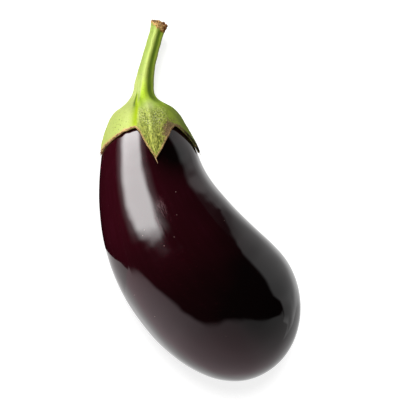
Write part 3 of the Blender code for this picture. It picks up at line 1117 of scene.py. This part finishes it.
def make_rind(name):
    """The material of one green piece, with its crust where the mesh says that it is dry."""
    material, tree, shader, carried = new_material(name, rind_numbers)
    shader.inputs["IOR"].default_value = 1.45
    shader.inputs["Specular IOR Level"].default_value = 0.3
    patterns = rind_patterns(tree)
    green = marked_rind(tree, carried, patterns, green_rind(tree, carried, patterns))
    whole = lay_over(tree, green, ((carried["dry"], dried_crust(tree, carried, patterns)),))
    tree.links.new(whole, shader.inputs["Base Color"])

    dull = add_node(tree, "MapRange", (patterns["tone"], 0.3, 0.7, 0.44, 0.54))
    for number, more in (("dry", 0.25), ("wrinkled", 0.1)):
        more_dull = add_node(tree, "Math", (carried[number], more), operation="MULTIPLY")
        dull = add_node(tree, "Math", (dull, more_dull))
    tree.links.new(dull, shader.inputs["Roughness"])

    strength = add_node(tree, "Math", (carried["wrinkled"], 0.6), operation="MULTIPLY")
    bump = {"Height": patterns["fine"], "Strength": strength, "Distance": FINE_BUMP}
    bump = {"Normal": add_node(tree, "Bump", bump), "Height": patterns["fibres"]}
    bump = add_node(tree, "Bump", {**bump, "Strength": 0.35, "Distance": FIBRE_BUMP})
    tree.links.new(bump, shader.inputs["Normal"])
    print(name, "has", len(tree.nodes), "nodes")
    return material


cap.data.materials.append(make_rind("green calyx rind"))
stalk.data.materials.append(make_rind("green stalk rind"))

# %% [markdown]
# ## The dried tips
#
# The tips are dead leaf, dry through and through: matt, from straw to brown, and grained at under a
# millimetre.

# %% Make the dried leaf
TIP_GRAIN = 0.8 * MM
TIP_BUMP = 0.1 * MM

dried, tree, shader, carried = new_material("dried leaf tip")
shader.inputs["Roughness"].default_value = 0.6
place = add_node(tree, "TexCoord", output=3)
grain = add_node(tree, "TexNoise", {"Vector": place, "Scale": 1 / TIP_GRAIN, "Detail": 3.0})
grain_share = add_node(tree, "MapRange", (grain, 0.4, 0.65))
tree.links.new(lay_over(tree, "#B3966A", ((grain_share, "#5E4630"),)), shader.inputs["Base Color"])
bump = add_node(tree, "Bump", {"Height": grain, "Strength": 0.4, "Distance": TIP_BUMP})
tree.links.new(bump, shader.inputs["Normal"])
tips.data.materials.append(dried)
print("made", dried.name)

# %% [markdown]
# ## The table
#
# The table is a plain, pale, matt sheet of paper. It glows a little from inside, which stands in for light
# that bounces about a white studio, so that it stays evenly white.

# %% Lay the table
TABLE_SIDE = 8.0
TABLE_INNER_GLOW = 0.69
PAPER_FIBRE = 2 * MM

sheet, tree, shader, carried = new_material("matt white paper")
place = add_node(tree, "TexCoord", output=3)
fibre = add_node(tree, "TexNoise", {"Vector": place, "Scale": 1 / PAPER_FIBRE, "Detail": 2.0})
tree.links.new(lay_over(tree, "#CFCFCF", ((fibre, "#D6D6D6"),)), shader.inputs["Base Color"])
shader.inputs["Roughness"].default_value = 0.9
shader.inputs["Emission Color"].default_value = colour("#FFFFFF")
shader.inputs["Emission Strength"].default_value = TABLE_INNER_GLOW
table_mesh = bpy.data.meshes.new("table")
corners = [(x * TABLE_SIDE / 2, y * TABLE_SIDE / 2, 0.0) for x, y in ((-1, -1), (1, -1), (1, 1), (-1, 1))]
table_mesh.from_pydata(corners, [], [(0, 1, 2, 3)])
table_mesh.materials.append(sheet)
table = bpy.data.objects.new("table", table_mesh)
bpy.context.scene.collection.objects.link(table)
table.visible_diffuse = False
table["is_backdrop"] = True
print("the table is", TABLE_SIDE, "m wide")

# %% [markdown]
# ## The dark room
#
# Round the table the room is nearly dark, as it is round a real product shot: a shiny dark thing shows all
# that stands near it, so only what should show in it is lit. Past the end of the table the camera sees
# white. The world tells these apart by the kind of ray that arrives.

# %% Set the world
ROOM_FOR_CAMERA = 1.0
ROOM_FOR_GLOSS = 0.012
ROOM_FOR_MATT = 0.33

world = bpy.data.worlds.new("studio")
bpy.context.scene.world = world
world.use_nodes = True
tree = world.node_tree
is_camera = add_node(tree, "LightPath")
is_glossy = add_node(tree, "LightPath", output=3)
level = add_node(tree, "MapRange", (is_camera, 0.0, 1.0, ROOM_FOR_MATT, ROOM_FOR_CAMERA))
level = add_node(tree, "Mix", {0: is_glossy, 2: level, 3: ROOM_FOR_GLOSS})
tree.links.new(level, tree.nodes["Background"].inputs["Strength"])
tree.nodes["Background"].inputs["Color"].default_value = colour("#FFFFFF")
print("the room's light on matt things:", ROOM_FOR_MATT)

# %% [markdown]
# ## Light for the table
#
# The table needs its own light, from straight above the eggplant's plane and very soft, so that there is
# one faint shadow close by. A sun lamp with a wide disc does that. Light linking keeps it off the eggplant,
# which has lights of its own.

# %% Light the table
TABLE_GLOW = 0.40  # with the glow from inside, a little over white
PAPER_BRIGHTNESS = 0.65
SUN_WIDTH = 16.0  # degrees
SUN_TOWARDS = (-0.04, 0.36, 1.0)

for_table = bpy.data.collections.new("lit by the table lamp")
for_table.objects.link(table)
sun_data = bpy.data.lights.new("table lamp", "SUN")
sun_data.angle = radians(SUN_WIDTH)
sun_data.energy = TABLE_GLOW * pi / PAPER_BRIGHTNESS
sun = bpy.data.objects.new("table lamp", sun_data)
bpy.context.scene.collection.objects.link(sun)
sun.matrix_world = laid_down @ Vector(SUN_TOWARDS).to_track_quat("Z", "Y").to_matrix().to_4x4()
sun.light_linking.receiver_collection = for_table
print("table lamp strength:", round(sun_data.energy, 2))

# %% [markdown]
# ## Things that show in the skin
#
# A glossy skin shows its surroundings, so the bright shapes in it are things that stand round it: a softbox
# up on the left, a white wall that curls round the foot end, and a card on the right. Each is brighter in
# some parts than in others, so each is a mesh whose points carry how brightly they glow. They are there for
# mirror-like rays only, and the lamps do the lighting, so their glow is left out when Blender looks for
# lights.

# %% A function for glowing meshes
def add_glow(name, points, numbers, receivers, tint="#FFFFFF"):
    """A mesh from a grid of points that glows by its own numbers, with a tint where rosy is 1."""
    rows, columns = points.shape[:2]
    starts = [row * columns + column for row in range(rows - 1) for column in range(columns - 1)]
    faces = [(start, start + 1, start + columns + 1, start + columns) for start in starts]
    piece = add_piece(name, points, faces)
    add_numbers(piece, numbers)
    material, tree, shader, carried = new_material(name, ("glow", "rosy"))
    tree.nodes.remove(shader)
    rosy = lay_over(tree, "#FFFFFF", ((carried["rosy"], tint),))
    lamp = add_node(tree, "Emission", {0: rosy, "Strength": carried["glow"]})
    tree.links.new(lamp, tree.nodes["Material Output"].inputs["Surface"])
    material.cycles.emission_sampling = "NONE"
    piece.data.materials.append(material)
    piece.visible_camera = False
    piece.visible_diffuse = False
    piece.visible_shadow = False
    piece.light_linking.receiver_collection = receivers
    piece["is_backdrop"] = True


lit = bpy.data.collections.new("lit by the studio")
for piece in (fruit, cap, stalk, tips):
    lit.objects.link(piece)
only_fruit = bpy.data.collections.new("lit by the cards")
only_fruit.objects.link(fruit)

# %% [markdown]
# ## The softbox
#
# The long stripe is a softbox. It is brightest in the middle and fades at its sides, slowly on the left,
# where some light spills past it. Its lower edge runs at a slant and its top is a little brighter. It is
# laid out on a plane, with two directions across and along it, so each edge is a soft step in one of them.

# %% Shape the softbox
KEY_ACROSS_HINT = np.array((0.75, 0.33, 0.62))
KEY_DISTANCE = 1.0
KEY_GLOW = 14.5
# each edge of the softbox: places in one direction, and where the edge is in the other
BOX_LEFT = ((-0.5, -0.36, -0.28, -0.2, 0.07), (-0.23, -0.27, -0.28, -0.36, -0.30))
BOX_LOWER = ((0.05, 0.31, 0.55), (-0.485, -0.445, -0.36))
BOX_SPILL = 0.1

key_towards = unit(KEY_LIGHT_SIDE)
key_across = unit(KEY_ACROSS_HINT - key_towards * (KEY_ACROSS_HINT @ key_towards))
key_along = np.cross(key_across, key_towards)
key_along = key_along * np.sign(key_along[1])
across, along = np.meshgrid(np.linspace(-0.85, 0.9, 120), np.linspace(-0.55, 0.55, 110), indexing="xy")
box_points = KEY_DISTANCE * (key_towards + across[..., None] * key_across + along[..., None] * key_along)

from_left = across - np.interp(along, *BOX_LEFT)
from_below = along - np.interp(across, *BOX_LOWER)
middle = soft_step(from_left, -0.16, 0.13) * soft_step(-across, -0.52, -0.32)
spill = BOX_SPILL * soft_step(across, -0.85, -0.35) ** 2 * soft_step(-across, -0.85, -0.3)
spill = spill * (1 + 1.2 * np.exp(-(((along + 0.2) / 0.08) ** 2)) * (across > 0.2))
box_glow = KEY_GLOW * (middle + spill * (1 - middle))
box_glow = box_glow * soft_step(from_below, 0, 0.035) * (0.34 + 0.66 * soft_step(from_below, 0.01, 0.15))
box_glow = box_glow * soft_step(-along, -0.55, -0.4) * (1 + 0.33 * soft_step(along, -0.15, 0.2))
add_glow("softbox", box_points, {"glow": box_glow}, lit)
print("the softbox glows up to", round(box_glow.max(), 1))

# %% [markdown]
# ## The lamp behind the softbox
#
# The mesh shows in the skin; the light on matt things comes from a rectangular lamp at the same place,
# which doesn't show. Splitting the two lets each be as bright as it needs to be.

# %% Light the eggplant
LAMP_GLOW = 7.6
LAMP_SIDES = (0.75, 0.85)

lamp_data = bpy.data.lights.new("softbox lamp", "AREA")
lamp_data.shape = "RECTANGLE"
lamp_data.size, lamp_data.size_y = LAMP_SIDES
lamp_data.energy = LAMP_GLOW * pi * LAMP_SIDES[0] * LAMP_SIDES[1]
lamp = bpy.data.objects.new("softbox lamp", lamp_data)
bpy.context.scene.collection.objects.link(lamp)
lamp_turn = Matrix(np.stack((key_across, np.cross(key_towards, key_across), key_towards), axis=1).tolist())
lamp.matrix_world = laid_down @ Matrix.Translation(key_towards * KEY_DISTANCE) @ lamp_turn.to_4x4()
lamp.visible_camera = False
lamp.visible_glossy = False
lamp.light_linking.receiver_collection = lit
print("softbox lamp, W:", round(lamp_data.energy, 1))

# %% [markdown]
# ## The white wall
#
# The soft grey rims at the foot end are a white wall, a metre away, that curls round from the left to the
# right. Its paper runs on over the table, almost to the eggplant, and there it glows like the table. The
# wall is higher in the middle, and its upper edge is blurred. It is faintly rosy on the left.

# %% Curl the wall round the foot end
WALL_TINT = "#FFE9EF"
# degrees round the eggplant from +X, how far up the wall reaches, and how brightly it glows
WALL = (
    (-163, 5, 1.5),
    (-158, 22, 1.6),
    (-150, 30, 1.75),
    (-140, 37, 1.75),
    (-130, 43, 1.6),
    (-120, 47, 1.3),
    (-110, 53, 1.2),
    (-100, 58, 1.15),
    (-90, 63, 1.1),
    (-80, 65, 1.05),
    (-60, 65, 0.95),
    (-40, 61, 0.7),
    (-30, 53, 0.6),
    (-20, 31, 0.55),
    (-10, 4, 0.5),
    (-5, 0, 0.5),
    (0, -25, 0.5),
)
WALL_DISTANCE = 1.0
WALL_CENTRE = np.array((5, -50)) * MM
WALL_START = 65 * MM
WALL_BLUR = 9.0  # degrees
PAPER_SHARE = 0.3  # the part of the grid that lies on the table
TABLE_SHINE = TABLE_INNER_GLOW + TABLE_GLOW


def above_table(x, y, height):
    """The z in the easy pose of a place at a height above the table."""
    return (height - to_world[2, 3] - to_world[2, 0] * x - to_world[2, 1] * y) / to_world[2, 2]


wall_turn, wall_top, wall_glow = np.array(WALL, dtype=float).T
turn, share = np.meshgrid(np.linspace(wall_turn[0], wall_turn[-1], 140), np.linspace(0, 1, 70), indexing="xy")
away = WALL_START + (WALL_DISTANCE - WALL_START) * np.clip(share / PAPER_SHARE, 0, 1) ** 2
wall_x = WALL_CENTRE[0] + away * np.cos(np.radians(turn))
wall_y = WALL_CENTRE[1] + away * np.sin(np.radians(turn))
foot = above_table(wall_x, wall_y, 1.5 * MM)
top = np.interp(turn, wall_turn, wall_top)
up = np.clip((share - PAPER_SHARE) / (1 - PAPER_SHARE), 0, 1)
full_height = WALL_DISTANCE * np.tan(np.radians(top + WALL_BLUR / 2))
wall_z = foot + (full_height - foot) * up
wall_points = np.stack((wall_x, wall_y, wall_z), axis=-1)
print("the wall reaches up to", round(wall_z.max(), 2), "m above the eggplant's plane")

# %% [markdown]
# ## The wall's glow
#
# The glow fades towards the top and towards both ends. Close to the eggplant, and at the right end, it
# turns into the table's own, so that the paper and the table look like one.

# %% Let the wall glow
rise = np.degrees(np.arctan2(wall_z, WALL_DISTANCE))
glow = np.interp(turn, wall_turn, wall_glow) * (1 - 0.35 * soft_step(rise, 0, 60))
glow = glow * (1 + 0.4 * soft_step(-away, -300 * MM, -90 * MM) * soft_step(turn, -60, -10))
like_table = np.maximum(soft_step(turn, -14, -2), soft_step(-away, -90 * MM, -66 * MM)) * (up == 0)
glow = glow + (TABLE_SHINE - glow) * like_table
edge_blur = soft_step(top - rise, -WALL_BLUR / 2, WALL_BLUR / 2) * soft_step(turn, -163, -157)
glow = glow * np.where(up > 0, edge_blur, 1.0)
wall_rosy = soft_step(-turn, 20, 80) * soft_step(away, 100 * MM, 220 * MM)
add_glow("white_wall", wall_points, {"glow": glow, "rosy": wall_rosy}, only_fruit, tint=WALL_TINT)
print("the wall glows up to", round(glow.max(), 2))

# %% [markdown]
# ## The card on the right
#
# The right rim shows a nearer card: it lies on the table, bends up 120 mm away, and has a dip in its top
# beside the waist, which leaves a dark gap there. It is laid out by its distance in one direction and by
# how far along the card a place is.

# %% Bend the card
CARD_FACES = radians(46.0)
CARD_START = 36 * MM
CARD_DISTANCE = 120 * MM
CARD_BEND = 0.35  # the part of the grid that lies on the table
CARD_BLUR = 8 * MM
# mm along the card, height of its white part over the middle plane, and how brightly it glows
CARD = (
    (-90, 44, 0.85),
    (-28, 48, 0.9),
    (-15, 48, 1.0),
    (-8, 44, 1.0),
    (0, 31, 1.0),
    (7, 9, 0.95),
    (14, -24, 0.7),
    (20, 7, 0.7),
    (27, 30, 0.8),
    (38, 59, 0.78),
    (48, 59, 0.74),
    (60, 62, 0.92),
    (95, 68, 0.92),
    (125, 75, 0.8),
    (150, 72, 0.75),
    (180, 42, 0.85),
    (230, 22, 0.65),
    (300, 0, 0.6),
    (340, -25, 0.6),
)

card_place, card_height, card_glow = np.array(CARD, dtype=float).T
beside, share = np.meshgrid(np.linspace(-90, 340, 173) * MM, np.linspace(0, 1, 60), indexing="xy")
away = CARD_START + (CARD_DISTANCE - CARD_START) * np.clip(share / CARD_BEND, 0, 1)
card_x = away * cos(CARD_FACES) + beside * sin(CARD_FACES)
card_y = away * sin(CARD_FACES) - beside * cos(CARD_FACES)
foot = above_table(card_x, card_y, 2.0 * MM)
white_top = np.interp(beside, card_place * MM, card_height * MM)
near_top = 45 * MM * soft_step(-beside, -230 * MM, -170 * MM)
card_top = np.maximum.reduce((white_top + CARD_BLUR, near_top, foot))
card_z = foot + (card_top - foot) * np.clip((share - CARD_BEND) / (1 - CARD_BEND), 0, 1)
card_points = np.stack((card_x, card_y, card_z), axis=-1)

card_share = 0.10 + 0.90 * soft_step(white_top - card_z, -CARD_BLUR, CARD_BLUR)
dip = 0.45 * np.exp(-(((beside - 22 * MM) / (8 * MM)) ** 2)) * soft_step(away, 60 * MM, 110 * MM)
near = 1 + 0.5 * soft_step(-away, -75 * MM, -40 * MM)
card_light = np.interp(beside, card_place * MM, card_glow) * card_share * (1 - dip) * near
card_light = card_light + (TABLE_SHINE - card_light) * soft_step(beside, 270 * MM, 335 * MM)
add_glow("right_card", card_points, {"glow": card_light}, only_fruit)
print("the card is", round((beside.max() - beside.min()) / MM), "mm long")

# %% [markdown]
# ## A black cloth
#
# The left edge of a dark fruit on a white table would mirror the table and turn grey. Photographers keep
# the edge dark with something black there. Here it is a velvet cloth on the table, which swallows nearly
# all light and has no shine. It is seen by mirror-like rays only.

# %% Lay a black cloth on the left
CLOTH_CORNERS = ((-56, -28), (-3900, -1622), (-3900, 3900), (-300, 3900), (-45, 150))  # mm, in the easy pose

cloth_points = np.array([(x * MM, y * MM, 0.0) for x, y in CLOTH_CORNERS])
cloth_points[:, 2] = above_table(cloth_points[:, 0], cloth_points[:, 1], 1 * MM)
cloth = add_piece("black_cloth", cloth_points, [(0, 1, 2, 3, 4)])
velvet, tree, shader, carried = new_material("black velvet")
shader.inputs["Base Color"].default_value = colour("#050505")
shader.inputs["Specular IOR Level"].default_value = 0.0
cloth.data.materials.append(velvet)
cloth.visible_camera = False
cloth.visible_diffuse = False
cloth.visible_shadow = False
cloth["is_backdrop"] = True

# %% [markdown]
# ## Pieces, bodies and the box
#
# Each piece is tied to the body that it moves with, and the measured solid that it stands for is hidden.
# Then the box of what is shown is printed.

# %% Tie the pieces to the frame
for piece, node, slot in (
    (fruit, "fruit", "skin"),
    (cap, "calyx", "calyx"),
    (tips, "calyx", "calyx"),
    (stalk, "stem", "stem"),
):
    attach(piece, "root")
    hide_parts(node)

bpy.context.scene.view_settings.view_transform = "Standard"
low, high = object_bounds()
print("visual box, mm:", [round(1000 * side, 1) for side in high - low])
